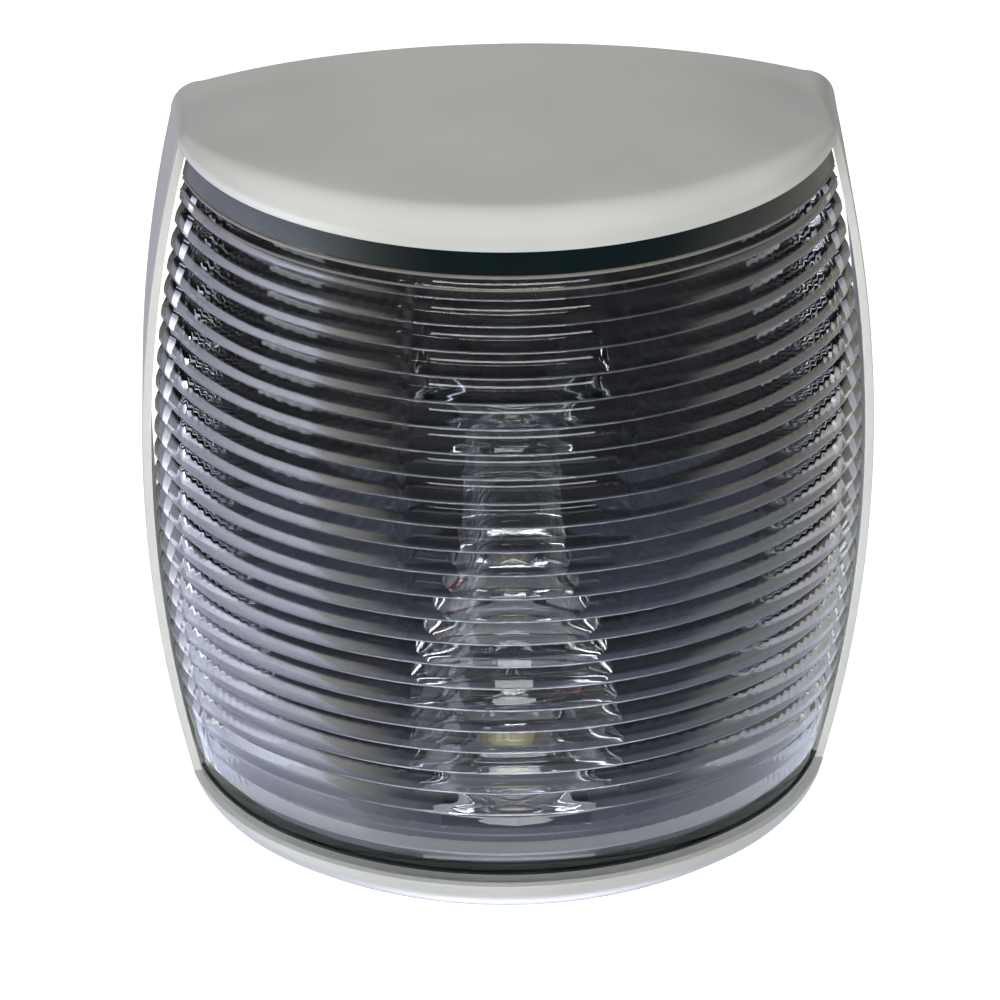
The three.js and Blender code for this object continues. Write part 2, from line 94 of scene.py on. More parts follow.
FRONT_CENTRE_Y = FRONT_ARC[0] - LENS_FRONT
FLANK_CENTRE_X = (FRONT_ARC[0] - FLANK_RADIUS) * math.sin(FRONT_ARC[1])
FLANK_CENTRE_Y = FRONT_CENTRE_Y - (FRONT_ARC[0] - FLANK_RADIUS) * math.cos(FRONT_ARC[1])

PAINTED_SHADOW_TIP = -9 * MM  # height of the upper corners of the back plate's lit slate parts; above them, and in the narrowing middle below, it stays near-black as painted shadow of the cap and the light guide's dish
PAINTED_SHADOW_HALF_WIDTH = 14 * MM
PAINTED_SHADOW_SLOPE = 0.75

BACK_PLATE_HALF_WIDTH = 29.7 * MM
BACK_PLATE_FRONT = 1.2 * MM  # from the bezel's back to the plate's front
BACK_PLATE_THICKNESS = 0.8 * MM
BACK_PLATE_PLAIN = 10 * MM  # half width of the part without flutes
BACK_FLUTE_DEPTH = 0.35 * MM
BACK_FLUTE_PITCH = 1.3 * MM

# The dark strips at the ends of the lens, painted shade for the shadowed gaps where it meets the caps: name,
# lowest and highest line.
PAINTED_SHADE_STRIPS = (
    ("upper_painted_shade_strip", 31.5 * MM, LENS_HALF),
    ("lower_painted_shade_strip", -LENS_HALF, -33.3 * MM),
)
PAINTED_SHADE_REACHES = (0.16 * MM, 0.02 * MM)
# The thin pale beads under the cap, painted reflections of the cap's underside in the top ribs: name, height
# of the middle and half height.
PAINTED_REFLECTION_BEADS = (
    ("upper_painted_reflection", 31.15 * MM, 0.16 * MM),
    ("second_painted_reflection", 29.95 * MM, 0.09 * MM),
)
BEAD_SWELL = 0.14 * MM
BEAD_ROOT = -0.1 * MM


# ---- Outlines ----
def bulge(z):
    """How far an outline at height z is drawn in from the one at the middle."""
    return BULGE_RADIUS - math.sqrt(BULGE_RADIUS**2 - z * z)


def lens_point(angle, reach):
    """A point of the lens outline whose normal is turned by angle from -Y, moved out by reach."""
    size = abs(angle)
    if size > FRONT_ARC[1]:
        centre_x, centre_y, radius = FLANK_CENTRE_X, FLANK_CENTRE_Y, FLANK_RADIUS + reach
    else:
        centre_x, centre_y, radius = 0, FRONT_CENTRE_Y, FRONT_ARC[0] + reach
    x = centre_x + radius * math.sin(size)
    return math.copysign(x, angle), centre_y - radius * math.cos(size)


def spread(start, end, count):
    """The values from start to end in count even steps."""
    return [start + (end - start) * i / count for i in range(count + 1)]


def angle_at(back, reach):
    """The angle at which the outline moved out by reach meets the plane y = -back."""
    return math.acos((back + FLANK_CENTRE_Y) / (FLANK_RADIUS + reach))


def whole(right):
    """The outline from the back of the left side, round the front, to the back of the right side."""
    return [(-x, y) for x, y in reversed(right[1:])] + right


def ring(reach, back, count=60):
    """The lens outline moved out by reach and cut off straight at y = -back."""
    return whole([lens_point(a, reach) for a in spread(0, angle_at(back, reach), count)])


def shroud_ring(inset, back, count, side_count):
    """The shroud outline: its reach shrinks towards the rails, then come a shoulder and straight sides."""
    end = angle_at(RAIL_FRONT, RAIL_REACH - inset)
    points = []
    for a in spread(0, end, count):
        reach = SHROUD_REACH + (RAIL_REACH - SHROUD_REACH) * (a / end) ** 2 - inset
        points.append(lens_point(a, reach))
    end_x, end_y = points[-1]
    centre_x = end_x - SHOULDER_RADIUS * math.sin(end)
    centre_y = end_y + SHOULDER_RADIUS * math.cos(end)
    for a in spread(end, math.pi / 2, 6)[1:]:
        points.append((centre_x + SHOULDER_RADIUS * math.sin(a), centre_y - SHOULDER_RADIUS * math.cos(a)))
    end_x, end_y = points[-1]
    points += [(end_x, y) for y in spread(end_y, -back, side_count)[1:]]
    return whole(points)


# ---- Mesh helpers ----
def link(name, mesh, body, material, smooth=40):
    """A new piece on a body, smooth except where faces meet at more than smooth degrees."""
    piece = bpy.data.objects.new(name, mesh)
    bpy.context.scene.collection.objects.link(piece)
    mesh.materials.append(material)
    mesh.polygons.foreach_set("use_smooth", [True] * len(mesh.polygons))
    mesh.set_sharp_from_angle(angle=math.radians(smooth))
    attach(piece, body)
    return piece


def shell_mesh(name, outer, inner, keep=lambda row, column: True):
    """A closed shell between two grids of points of the same size, without the cells that keep refuses."""
    rows, columns = len(outer), len(outer[0])
    mesh = bmesh.new()
    skins = [[[mesh.verts.new(p) for p in line] for line in grid] for grid in (outer, inner)]
    kept = {(r, c) for r in range(rows - 1) for c in range(columns - 1) if keep(r, c)}

    def side(a, b):
        ends = ((skins[0], a), (skins[0], b), (skins[1], b), (skins[1], a))
        mesh.faces.new([skin[row][column] for skin, (row, column) in ends])

    for r, c in kept:
        for skin, turned in ((skins[0], False), (skins[1], True)):
            corners = [skin[r][c], skin[r][c + 1], skin[r + 1][c + 1], skin[r + 1][c]]
            mesh.faces.new(corners[::-1] if turned else corners)
        if (r - 1, c) not in kept:
            side((r, c + 1), (r, c))
        if (r + 1, c) not in kept:
            side((r + 1, c), (r + 1, c + 1))
        if (r, c - 1) not in kept:
            side((r, c), (r + 1, c))
        if (r, c + 1) not in kept:
            side((r + 1, c + 1), (r, c + 1))
    bmesh.ops.remove_doubles(mesh, verts=mesh.verts, dist=1e-7)
    bmesh.ops.dissolve_degenerate(mesh, dist=1e-8, edges=mesh.edges)
    loose = [v for v in mesh.verts if not v.link_faces]
    bmesh.ops.delete(mesh, geom=loose, context="VERTS")
    bmesh.ops.recalc_face_normals(mesh, faces=mesh.faces)
    data = bpy.data.meshes.new(name)
    mesh.to_mesh(data)
    mesh.free()
    return data


def turned_mesh(name, profile, sides=96):
    """A solid of revolution about the optic axis, from (radius, height above the foot) pairs in mm."""
    mesh = bmesh.new()
    rows = []
    for radius, height in profile:
        z = GUIDE_FOOT + height * MM
        if radius == 0:
            rows.append([mesh.verts.new((0, OPTIC_Y, z))])
            continue
        row = []
        for i in range(sides):
            a = 2 * math.pi * i / sides
            row.append(mesh.verts.new((radius * MM * math.sin(a), OPTIC_Y - radius * MM * math.cos(a), z)))
        rows.append(row)
    for lower, upper in zip(rows, rows[1:]):
        for i in range(sides):
            j = (i + 1) % sides
            below = [lower[k % len(lower)] for k in (i, j)]
            above = [upper[k % len(upper)] for k in (j, i)]
            unique = list(dict.fromkeys(below + above))
            if len(unique) > 2:
                mesh.faces.new(unique)
    bmesh.ops.recalc_face_normals(mesh, faces=mesh.faces)
    data = bpy.data.meshes.new(name)
    mesh.to_mesh(data)
    mesh.free()
    return data


def rounded(points, per_corner=4, reach=0.35):
    """The same open profile with each inner corner turned into a short curve."""
    result = [points[0]]
    for before, corner, after in zip(points, points[1:], points[2:]):
        start = [corner[i] + (before[i] - corner[i]) * reach for i in (0, 1)]
        end = [corner[i] + (after[i] - corner[i]) * reach for i in (0, 1)]
        for k in range(per_corner + 1):
            t = k / per_corner
            weights = ((1 - t) ** 2, 2 * t * (1 - t), t * t)
            shares = list(zip(weights, (start, corner, end)))
            result.append(tuple(sum(weight * point[i] for weight, point in shares) for i in (0, 1)))
    result.append(points[-1])
    return result


# ---- Material helpers ----
def new_material(name, **values):
    """A material with a Principled shader whose sockets are set from values."""
    material = bpy.data.materials.new(name)
    material.use_nodes = True
    shader = material.node_tree.nodes["Principled BSDF"]
    for key, value in values.items():
        socket = shader.inputs[key.replace("_", " ")]
        socket.default_value = (*value, 1) if isinstance(value, tuple) else value
    return material, material.node_tree, shader


def noise(tree, scale, detail=4, roughness=0.5, stretch=(1, 1, 1)):
    """Noise in object coordinates, stretched along the axes."""
    place = tree.nodes.new("ShaderNodeTexCoord")
    mapping = tree.nodes.new("ShaderNodeMapping")
    mapping.inputs["Scale"].default_value = stretch
    texture = tree.nodes.new("ShaderNodeTexNoise")
    texture.inputs["Scale"].default_value = scale
    texture.inputs["Detail"].default_value = detail
    texture.inputs["Roughness"].default_value = roughness
    tree.links.new(place.outputs["Object"], mapping.inputs["Vector"])
    tree.links.new(mapping.outputs["Vector"], texture.inputs["Vector"])
    return texture.outputs["Fac"]


def ramp(tree, source, stops):
    """A colour ramp whose stops are (position, value) or (position, (r, g, b))."""
    node = tree.nodes.new("ShaderNodeValToRGB")
    node.color_ramp.elements.remove(node.color_ramp.elements[1])
    for i, (position, value) in enumerate(stops):
        element = node.color_ramp.elements[0] if i == 0 else node.color_ramp.elements.new(position)
        element.position = position
        rgb = value if isinstance(value, tuple) else (value, value, value)
        element.color = (*rgb, 1)
    tree.links.new(source, node.inputs["Fac"])
    return node.outputs["Color"]


def bump(tree, shader, height, strength, distance):
    """Drives the shader's normal from a height."""
    node = tree.nodes.new("ShaderNodeBump")
    node.inputs["Strength"].default_value = strength
    node.inputs["Distance"].default_value = distance
    tree.links.new(height, node.inputs["Height"])
    tree.links.new(node.outputs["Normal"], shader.inputs["Normal"])


def plastic(name, dark, pale, rough=(0.25, 0.35), grain=0.05, scale=900, **values):
    """Moulded plastic: slightly mottled colour, uneven gloss and a fine grain."""
    material, tree, shader = new_material(name, **values)
    mottle = noise(tree, 60, 3)
    tree.links.new(ramp(tree, mottle, [(0.35, dark), (0.65, pale)]), shader.inputs["Base Color"])
    smear = noise(tree, 140, 5, 0.6, (1, 1, 0.4))
    tree.links.new(ramp(tree, smear, [(0.3, rough[0]), (0.7, rough[1])]), shader.inputs["Roughness"])
    bump(tree, shader, noise(tree, scale, 2), grain, 0.0001)
    return material


def metal(name, colour, rough=(0.2, 0.4), stretch=(1, 12, 1)):
    """Bare metal with fine marks along one direction."""
    material, tree, shader = new_material(name, Metallic=1.0)
    marks = noise(tree, 500, 4, 0.6, stretch)
    paler = tuple(min(1, v * 1.12) for v in colour)
    tree.links.new(ramp(tree, marks, [(0.3, colour), (0.7, paler)]), shader.inputs["Base Color"])
    tree.links.new(ramp(tree, marks, [(0.3, rough[0]), (0.7, rough[1])]), shader.inputs["Roughness"])
    bump(tree, shader, marks, 0.1, 0.0001)
    return material


def clear_plastic(name, tint, rough=(0.02, 0.05), ior=1.49):
    """Clear moulded plastic. Shadow rays pass, so that the lights reach what is behind it."""
    material, tree, shader = new_material(name, Base_Color=tint, IOR=ior, Transmission_Weight=1.0)
    haze = noise(tree, 220, 4, 0.6)
    tree.links.new(ramp(tree, haze, [(0.35, rough[0]), (0.7, rough[1])]), shader.inputs["Roughness"])
    bump(tree, shader, noise(tree, 90, 2), 0.02, 0.0001)
    path = tree.nodes.new("ShaderNodeLightPath")
    through = tree.nodes.new("ShaderNodeBsdfTransparent")
    through.inputs["Color"].default_value = (*tint, 1)
    mix = tree.nodes.new("ShaderNodeMixShader")
    output = tree.nodes["Material Output"]
    tree.links.new(path.outputs["Is Shadow Ray"], mix.inputs["Fac"])
    tree.links.new(shader.outputs["BSDF"], mix.inputs[1])
    tree.links.new(through.outputs["BSDF"], mix.inputs[2])
    tree.links.new(mix.outputs["Shader"], output.inputs["Surface"])
    return material


# ---- Materials ----
WHITE = plastic(
    "white_shroud_gloss",
    (0.60, 0.605, 0.58),
    (0.65, 0.655, 0.63),
    (0.3, 0.42),
    0.06,
    1400,
    Coat_Weight=0.15,
)
LENS = clear_plastic("clear_ribbed_lens", (0.97, 0.98, 1.0))
OPTIC = clear_plastic("clear_light_guide", (0.8, 0.81, 0.84), (0.01, 0.04))
TRAY = plastic("black_nylon", (0.012, 0.012, 0.013), (0.02, 0.02, 0.022), (0.5, 0.65), 0.3, 2600)
SLATE = plastic("slate_bezel", (0.010, 0.011, 0.015), (0.014, 0.015, 0.02), (0.5, 0.6), 0.15, 2200)
RUBBER = plastic("seal_rubber", (0.006, 0.012, 0.013), (0.01, 0.02, 0.022), (0.45, 0.6), 0.3, 3000)
# Near-black with a teal tint: painted shade for the shadowed gaps at the ends of the lens.
PAINTED_SHADE_BAND = plastic("painted_shade_teal_black", (0.002, 0.006, 0.007), (0.004, 0.011, 0.013), (0.25, 0.4), 0.1, 2400)
# Pale beige: painted reflection of the cap's underside, as seen in the top ribs.
PAINTED_REFLECTION_BEAD = plastic("painted_reflection_beige", (0.2, 0.19, 0.165), (0.3, 0.285, 0.25), (0.2, 0.3), 0.05, 900)
FOAM = plastic("gasket_foam", (0.02, 0.02, 0.021), (0.045, 0.045, 0.047), (0.8, 0.95), 0.9, 1800)
SILVER = metal("vacuum_silver", (0.86, 0.87, 0.9), (0.03, 0.1), (1, 1, 1))
BRASS = metal("machined_brass", (0.6, 0.42, 0.16))
STEEL = metal("stainless_steel", (0.6, 0.6, 0.61), (0.15, 0.3))
ALUMINIUM = metal("mill_aluminium", (0.42, 0.43, 0.45), (0.25, 0.45))
BOARD_GREEN = plastic("board_green", (0.01, 0.08, 0.035), (0.015, 0.11, 0.05), (0.3, 0.4), 0.2, 1500)
BOARD_WHITE = plastic("board_white", (0.16, 0.16, 0.155), (0.2, 0.2, 0.195), (0.3, 0.4), 0.1, 1500)
EPOXY = plastic("moulded_epoxy", (0.02, 0.02, 0.022), (0.03, 0.03, 0.032), (0.5, 0.6), 0.4, 3500)
PHOSPHOR = plastic(
    "led_phosphor",
    (0.3, 0.26, 0.14),
    (0.36, 0.31, 0.18),
    (0.1, 0.2),
    0.05,
    800,
    Coat_Weight=0.5,
)
RED = plastic("red_insulation", (0.13, 0.015, 0.012), (0.17, 0.02, 0.015), (0.3, 0.4), 0.05)
DARK = plastic("black_insulation", (0.012, 0.012, 0.012), (0.02, 0.02, 0.02), (0.3, 0.4), 0.05)

CARRIED = {
    "lens_seal": RUBBER,
    "base_tray": TRAY,
    "mounting_gasket": FOAM,
    "cable_grommet": RUBBER,
    "vent_plug": RUBBER,
    "mounting_insert_left": BRASS,
    "mounting_insert_right": BRASS,
    "driver_board": BOARD_GREEN,
    "board_screw_1": STEEL,
    "board_screw_2": STEEL,
    "board_screw_3": STEEL,
    "board_screw_4": STEEL,
    "terminal_block": EPOXY,
    "driver_inductor": EPOXY,
    "driver_regulator": EPOXY,
    "driver_capacitor_1": ALUMINIUM,
    "driver_capacitor_2": ALUMINIUM,
    "heat_spreader": ALUMINIUM,
    "led_board": BOARD_WHITE,
    "led_chip": PHOSPHOR,
    "led_screw_1": STEEL,
    "led_screw_2": STEEL,
    "led_lead_red": RED,
    "led_lead_black": DARK,
}
for node_name, material in CARRIED.items():
    node = nodes[node_name]
    node.data.materials.clear()
    node.data.materials.append(material)


def painted_shadow_panel_plastic():
    """The back plate's plastic: near-black, painted shadow of the cap and the light guide's dish, behind the
    head of the light guide, and slate beside and below it where the plate is lit.
    """
    material = plastic(
        "back_panel_painted_shadow",
        (0.002, 0.002, 0.0025),
        (0.004, 0.004, 0.005),
        (0.6, 0.7),
        0.1,
        2200,
        Specular_IOR_Level=0.15,
    )
    tree = material.node_tree
    shader = tree.nodes["Principled BSDF"]
    dark = shader.inputs["Base Color"].links[0].from_socket
    slate = ramp(tree, noise(tree, 80, 3), [(0.3, (0.014, 0.016, 0.022)), (0.7, (0.018, 0.02, 0.028))])

    def math_node(operation, first, second=None):
        node = tree.nodes.new("ShaderNodeMath")
        node.operation = operation
        for socket, value in zip(node.inputs, (first, second)):
            if isinstance(value, (int, float)):
                socket.default_value = value
            elif value is not None:
                tree.links.new(value, socket)
        return node.outputs["Value"]

    place = tree.nodes.new("ShaderNodeTexCoord")
    parts = tree.nodes.new("ShaderNodeSeparateXYZ")
    tree.links.new(place.outputs["Object"], parts.inputs["Vector"])
    side = math_node("ABSOLUTE", parts.outputs["X"])
    # The slate parts are where the plate is lit; the near-black everywhere else is painted shadow.
    below = math_node("LESS_THAN", parts.outputs["Z"], PAINTED_SHADOW_TIP)
    rise = math_node("MULTIPLY", math_node("SUBTRACT", parts.outputs["Z"], PAINTED_SHADOW_TIP), PAINTED_SHADOW_SLOPE)
    outside = math_node("GREATER_THAN", side, math_node("ADD", rise, PAINTED_SHADOW_HALF_WIDTH))
    lit_part_mask = math_node("MULTIPLY", below, outside)
    mix = tree.nodes.new("ShaderNodeMix")
    mix.data_type = "RGBA"
    tree.links.new(lit_part_mask, mix.inputs["Factor"])
    tree.links.new(dark, mix.inputs["A"])
    tree.links.new(slate, mix.inputs["B"])
    tree.links.new(mix.outputs["Result"], shader.inputs["Base Color"])
    return material


# ---- Shroud ----
def crown_drop(x, y):
    """How far the cap lies below its middle: an arch at the bulkhead that flattens towards the front."""
    forward = min(1, max(0, -y / CROWN_LOST_BY))
    flatten = 1 - CROWN_LOSS * forward * forward * (3 - 2 * forward)
    return (CROWN_RADIUS - math.sqrt(CROWN_RADIUS**2 - x * x)) * flatten


def shroud_columns(back, arc_count, side_count):
    """A function from a column of the shroud's grid and an inset to a point, and the number of columns."""
    span = 6 * MM
    wide = shroud_ring(0, back, arc_count, side_count)
    narrow = shroud_ring(span, back, arc_count, side_count)

    def point(column, inset):
        t = inset / span
        return tuple(w + (n - w) * t for w, n in zip(wide[column], narrow[column]))

    return point, len(wide)


def shroud_grid(inset, arc_count, side_count, side_rows):
    """The shroud's surface moved in by inset, from the middle of the bottom cap to that of the top cap."""
    back = SHROUD_BACK
    top = SHROUD_TOP - inset
    full_edge = EDGE_RADIUS - inset
    point, columns = shroud_columns(back, arc_count, side_count)
    sides = []
    for column in range(columns):
        x, y = point(column, inset + bulge(SHROUD_LIP))
        room = top - crown_drop(x, y) - SHROUD_LIP - LEAST_STEP
        rearward = min(1, max(0, (y + RAIL_FRONT) / (RAIL_FRONT - EDGE_FULL_AT)))
        edge = min(full_edge, room + (full_edge - room) * rearward)
        high = top - crown_drop(x, y) - edge
        sides.append((edge, high, min(SHROUD_LIP, high - LEAST_STEP)))

    rows = []
    for share in spread(-1, 1, side_rows):
        row = []
        for column, (edge, high, lip) in enumerate(sides):
            z = lip * share
            row.append((*point(column, inset + bulge(z)), z))
        rows.append(row)
    cap = []
    for share in spread(0, 1, 3)[1:]:
        row = []
        for column, (edge, high, lip) in enumerate(sides):
            z = lip + (high - lip) * share
            row.append((*point(column, inset + bulge(z)), z))
        cap.append(row)
    for a in spread(0, math.pi / 2, 10)[1:]:
        row = []
        for column, (edge, high, lip) in enumerate(sides):
            x, y = point(column, inset + bulge(high) + edge * (1 - math.cos(a)))
            row.append((x, y, high + edge * math.sin(a)))
        cap.append(row)
    rim = cap[-1]
    for share in spread(0, 1, 24)[1:]:
        row = []
        for x, y, z in rim:
            px = x * (1 - share)
            py = y + (-back - y) * share
            lift = z - (top - crown_drop(x, y))
            row.append((px, py, top - crown_drop(px, py) + lift * (1 - share) ** 4))
        cap.append(row)
    below = [[(x, y, -z) for x, y, z in row] for row in reversed(cap)]
    return below + rows + cap


def make_shroud():
    """The white moulding: both caps and the two side rails, with the window for the lens left open."""
    arc_count = 56
    side_count = 10
    side_rows = 40
    outer = shroud_grid(0, arc_count, side_count, side_rows)
    inner = shroud_grid(SHROUD_WALL, arc_count, side_count, side_rows)
    cap_count = (len(outer) - side_rows - 1) // 2
    columns = len(outer[0])
    rail = (columns - 1 - 2 * arc_count) // 2

    def keep(row, column):
        in_window_height = cap_count <= row < cap_count + side_rows
        in_front = rail <= column < columns - 1 - rail
        return not (in_window_height and in_front)

    mesh = shell_mesh("shroud_moulding", outer, inner, keep)
    piece = link("shroud_moulding", mesh, "shroud", WHITE, 50)
    soften = piece.modifiers.new("edges", "BEVEL")
    soften.width = SHROUD_BEVEL
    soften.segments = 3
    soften.limit_method = "ANGLE"
    soften.angle_limit = math.radians(50)
    soften.harden_normals = True
    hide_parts("shroud")


def rounded_box(name, low, high, radius, body, material):
    """A moulded block between two corners, with its edges rounded."""
    mesh = bmesh.new()
    bmesh.ops.create_cube(mesh, size=1)
    for vertex in mesh.verts:
        vertex.co = [(a + b) / 2 + (b - a) * c for a, b, c in zip(low, high, vertex.co)]
    bmesh.ops.bevel(mesh, geom=mesh.edges, offset=radius, segments=3, affect="EDGES", profile=0.5)
    data = bpy.data.meshes.new(name)
    mesh.to_mesh(data)
    mesh.free()
    return link(name, data, body, material)


def make_tongues():
    """The flat tongues under the caps that slide between the tray's fences."""
    inner_top = SHROUD_TOP - SHROUD_WALL
    for name, side in (("upper_tongue", 1), ("lower_tongue", -1)):
        ends = sorted((side * TONGUE_LOW, side * (inner_top + TONGUE_SINKS)))
        low = (-TONGUE_HALF_WIDTH, TONGUE_DEPTHS[0], ends[0])
        high = (TONGUE_HALF_WIDTH, TONGUE_DEPTHS[1], ends[1])
        rounded_box(name, low, high, TONGUE_EDGE, "shroud", WHITE)


# ---- Lens ----
def rib_inset(z):
    """How far the surface lies behind the rib crests: each rib is round below and slopes in at the top."""
    first = -RIB_COUNT * RIB_PITCH / 2
    place = (z - first) / RIB_PITCH
    if place < 0 or place > RIB_COUNT:
        return 0
    share = place % 1
    fade = min(1, max(FLAT_DEPTH, (z - FLAT_BELOW) / RIB_PITCH))
    if share < RIB_NOSE:
        return fade * RIB_DEPTH * (1 - math.sqrt(1 - (1 - share / RIB_NOSE) ** 2))
    return fade * RIB_DEPTH * max(0, (share - RIB_FLAT) / (1 - RIB_FLAT)) ** RIB_SLOPE_POWER


def lens_grid(reach, half, back, arc_count, wall_heights, relief):
    """Rows from the middle of the lower end, out to the wall, up it, and in over the upper end."""
    end = []
    line = ring(reach - bulge(half), back, arc_count)
    for share in spread(1, 0, 6)[:-1]:
        end.append([(x * (1 - share), y + (-back - y) * share, half) for x, y in line])
    wall = []
    for z in wall_heights:
        wall.append([(x, y, z) for x, y in ring(reach - bulge(z) - relief(z), back, arc_count)])
    lower = [[(x, y, -z) for x, y, z in row] for row in end]
    return lower + wall + end[::-1]


def make_lens():
    """The clear lens: ribbed outside, with upright flutes inside on both flanks."""
    per_rib = 10
    heights = [-LENS_HALF]
    first = -RIB_COUNT * RIB_PITCH / 2
    heights += [first + RIB_PITCH * i / per_rib for i in range(RIB_COUNT * per_rib + 1)]
    heights.append(LENS_HALF)
    inner_half = LENS_HALF - LENS_END_WALL
    inner_heights = [z * inner_half / LENS_HALF for z in heights]
    arc_count = 64
    outer = lens_grid(0, LENS_HALF, LENS_BACK, arc_count, heights, rib_inset)
    inner = lens_grid(-LENS_WALL, inner_half, LENS_BACK, arc_count, inner_heights, lambda z: 0)
    for row in inner:
        for column in range(0, len(row), 2):
            x, y, z = row[column]
            turn = math.atan2(abs(x), FRONT_CENTRE_Y - y)
            if FLUTED[0] < turn < FLUTED[1] and abs(z) < inner_half:
                inward = math.copysign(FLUTE_DEPTH * math.sin(turn), x)
                row[column] = (x - inward, y + FLUTE_DEPTH * math.cos(turn), z)
    mesh = shell_mesh("ribbed_lens", outer, inner)
    piece = link("ribbed_lens", mesh, "lamp", LENS, 55)
    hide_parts("lens")


def make_painted_shade_and_reflections():
    """A dark strip at each end of the lens, where it meets the caps, as painted shade of the gaps there, and
    two pale beads under the upper one as painted reflections of the cap's underside in the top ribs.
    """
    for name, low, high in PAINTED_SHADE_STRIPS:
        grids = []
        for reach in PAINTED_SHADE_REACHES:
            grid = []
            for z in spread(low, high, 6):
                grid.append([(x, y, z) for x, y in ring(reach - bulge(z), LENS_BACK)])
            grids.append(grid)
        link(name, shell_mesh(name, *grids), "lamp", PAINTED_SHADE_BAND, 50)
    for name, middle, half in PAINTED_REFLECTION_BEADS:
        outer = []
        inner = []
        for z in spread(middle - half, middle + half, 6):
            swell = BEAD_SWELL * (1 - ((z - middle) / half) ** 2)
            outer.append([(x, y, z) for x, y in ring(swell - bulge(z), LENS_BACK)])
            inner.append([(x, y, z) for x, y in ring(BEAD_ROOT - bulge(z), LENS_BACK)])
        link(name, shell_mesh(name, outer, inner), "lamp", PAINTED_REFLECTION_BEAD, 50)


# ---- Dark inside ----
BEZEL_SHEET = 1.0 * MM
BEZEL_GAP = 0.6 * MM  # between the bezel and the lens wall
BEZEL_REACH = -LENS_WALL - BEZEL_GAP


def make_bezel():
    """The dark floor and ceiling: the two ends of a shell inside the lens, without the wall between them."""
    half = -BEZEL_LOW.z
    back = -BEZEL_HIGH.y
    steps = 8

    def grid(reach, high):
        end = []
        line = ring(reach - bulge(high), back, 48)
        for share in spread(1, 0, steps)[:-1]:
            end.append([(x * (1 - share), y + (-back - y) * share, high) for x, y in line])
        wall = [[(x, y, side * high) for x, y in ring(reach - bulge(half), back, 48)] for side in (-1, 1)]
        lower = [[(x, y, -z) for x, y, z in row] for row in end]
        return lower + wall + end[::-1]

    outer = grid(BEZEL_REACH, half)
    inner = grid(BEZEL_REACH - BEZEL_SHEET, half - BEZEL_SHEET)
    mesh = shell_mesh("dark_bezel", outer, inner, lambda row, column: row != steps)
    piece = link("dark_bezel", mesh, "lamp", SLATE, 40)
    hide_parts("inner_bezel")


def make_back_plate():
    """The plate behind the light guide, fluted on both sides of it."""
    half = -BEZEL_LOW.z
    front = -BEZEL_HIGH.y + BACK_PLATE_FRONT
    columns = 480
    mesh = bmesh.new()
    grid = []
    for z in spread(-half + BEZEL_SHEET, half - BEZEL_SHEET, 16):
        limit = BACK_PLATE_HALF_WIDTH - bulge(z)
        line = []
        for x in spread(-limit, limit, columns):
            flute = 0
            if abs(x) > BACK_PLATE_PLAIN:
                flute = BACK_FLUTE_DEPTH * abs(2 * ((abs(x) / BACK_FLUTE_PITCH) % 1) - 1)
            line.append(mesh.verts.new((x, -front - flute, z)))
        grid.append(line)
    for lower, upper in zip(grid, grid[1:]):
        for i in range(columns):
            mesh.faces.new([lower[i], lower[i + 1], upper[i + 1], upper[i]])
    data = bpy.data.meshes.new("back_plate")
    mesh.to_mesh(data)
    mesh.free()
    piece = link("back_plate", data, "lamp", painted_shadow_panel_plastic(), 30)
    thick = piece.modifiers.new("thickness", "SOLIDIFY")
    thick.thickness = BACK_PLATE_THICKNESS
    thick.offset = -1


# ---- Light guide and its reflector ----
# Half sections as (radius, height above the foot), in mm.
GUIDE_PROFILE = [
    (0, 4.6),
    (3.2, 3.4),
    (4, 1.8),
    (7.6, 1.6),
    (8, 0),
    (10.6, 0),
    (11, 1),
    (10.6, 4),
    (9.4, 8),
    (7.6, 12.5),
    (5.8, 18.04),
    (4.9, 22.96),
    (4.6, 30.34),
    (5, 33.8),
    (5.8, 34.8),
    (5.8, 36.8),
    (5, 37.8),
    (6.4, 39.1),
    (9.1, 40.4),
    (9.3, 42),
    (8.7, 42.4),
    (4, 39.6),
    (0, 36.4),
]
REFLECTOR_PROFILE = [(0, 37), (3.8, 39.9), (8.5, 42.75), (8.7, 43.3), (8.2, 43.4), (3.4, 41), (0, 39.2)]


def make_optic():
    """The hourglass light guide and the silvered cone in its dish."""
    mesh = turned_mesh("clear_light_guide", rounded(GUIDE_PROFILE))
    guide = link("clear_light_guide", mesh, "lamp", OPTIC, 50)
    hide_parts("light_guide")
    mesh = turned_mesh("silvered_cone", rounded(REFLECTOR_PROFILE, 2, 0.2))
    cone = link("silvered_cone", mesh, "lamp", SILVER, 40)
    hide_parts("top_reflector")


make_shroud()
make_tongues()
make_lens()
make_painted_shade_and_reflections()
make_bezel()
make_back_plate()
make_optic()


# ---- Floor, lights and camera ----
FLOOR_HEIGHT = -0.1
FLOOR_HALF = 3.0
CAMERA_TARGET = Vector((0, -0.02, 0))
CAMERA_DISTANCE = 0.7
CAMERA_ELEVATION = math.radians(29.5)
CAMERA_AZIMUTH = math.radians(-2.3)
CAMERA_SHIFT = (-0.0115, -0.010)
PIXELS_PER_METRE = 10500
FRAME_PIXELS = 1000


def softbox(name, place, aim, size, power, colour=(1, 1, 1)):
    """A rectangular area light at place, facing aim, that no mirrored ray sees."""
    lamp = bpy.data.lights.new(name, "AREA")
    lamp.shape = "RECTANGLE"
    lamp.size, lamp.size_y = size
    lamp.energy = power
    lamp.color = colour
    holder = bpy.data.objects.new(name, lamp)
    bpy.context.scene.collection.objects.link(holder)
    holder.location = place
    holder.rotation_euler = (Vector(aim) - Vector(place)).to_track_quat("-Z", "Y").to_euler()
    holder.visible_glossy = False


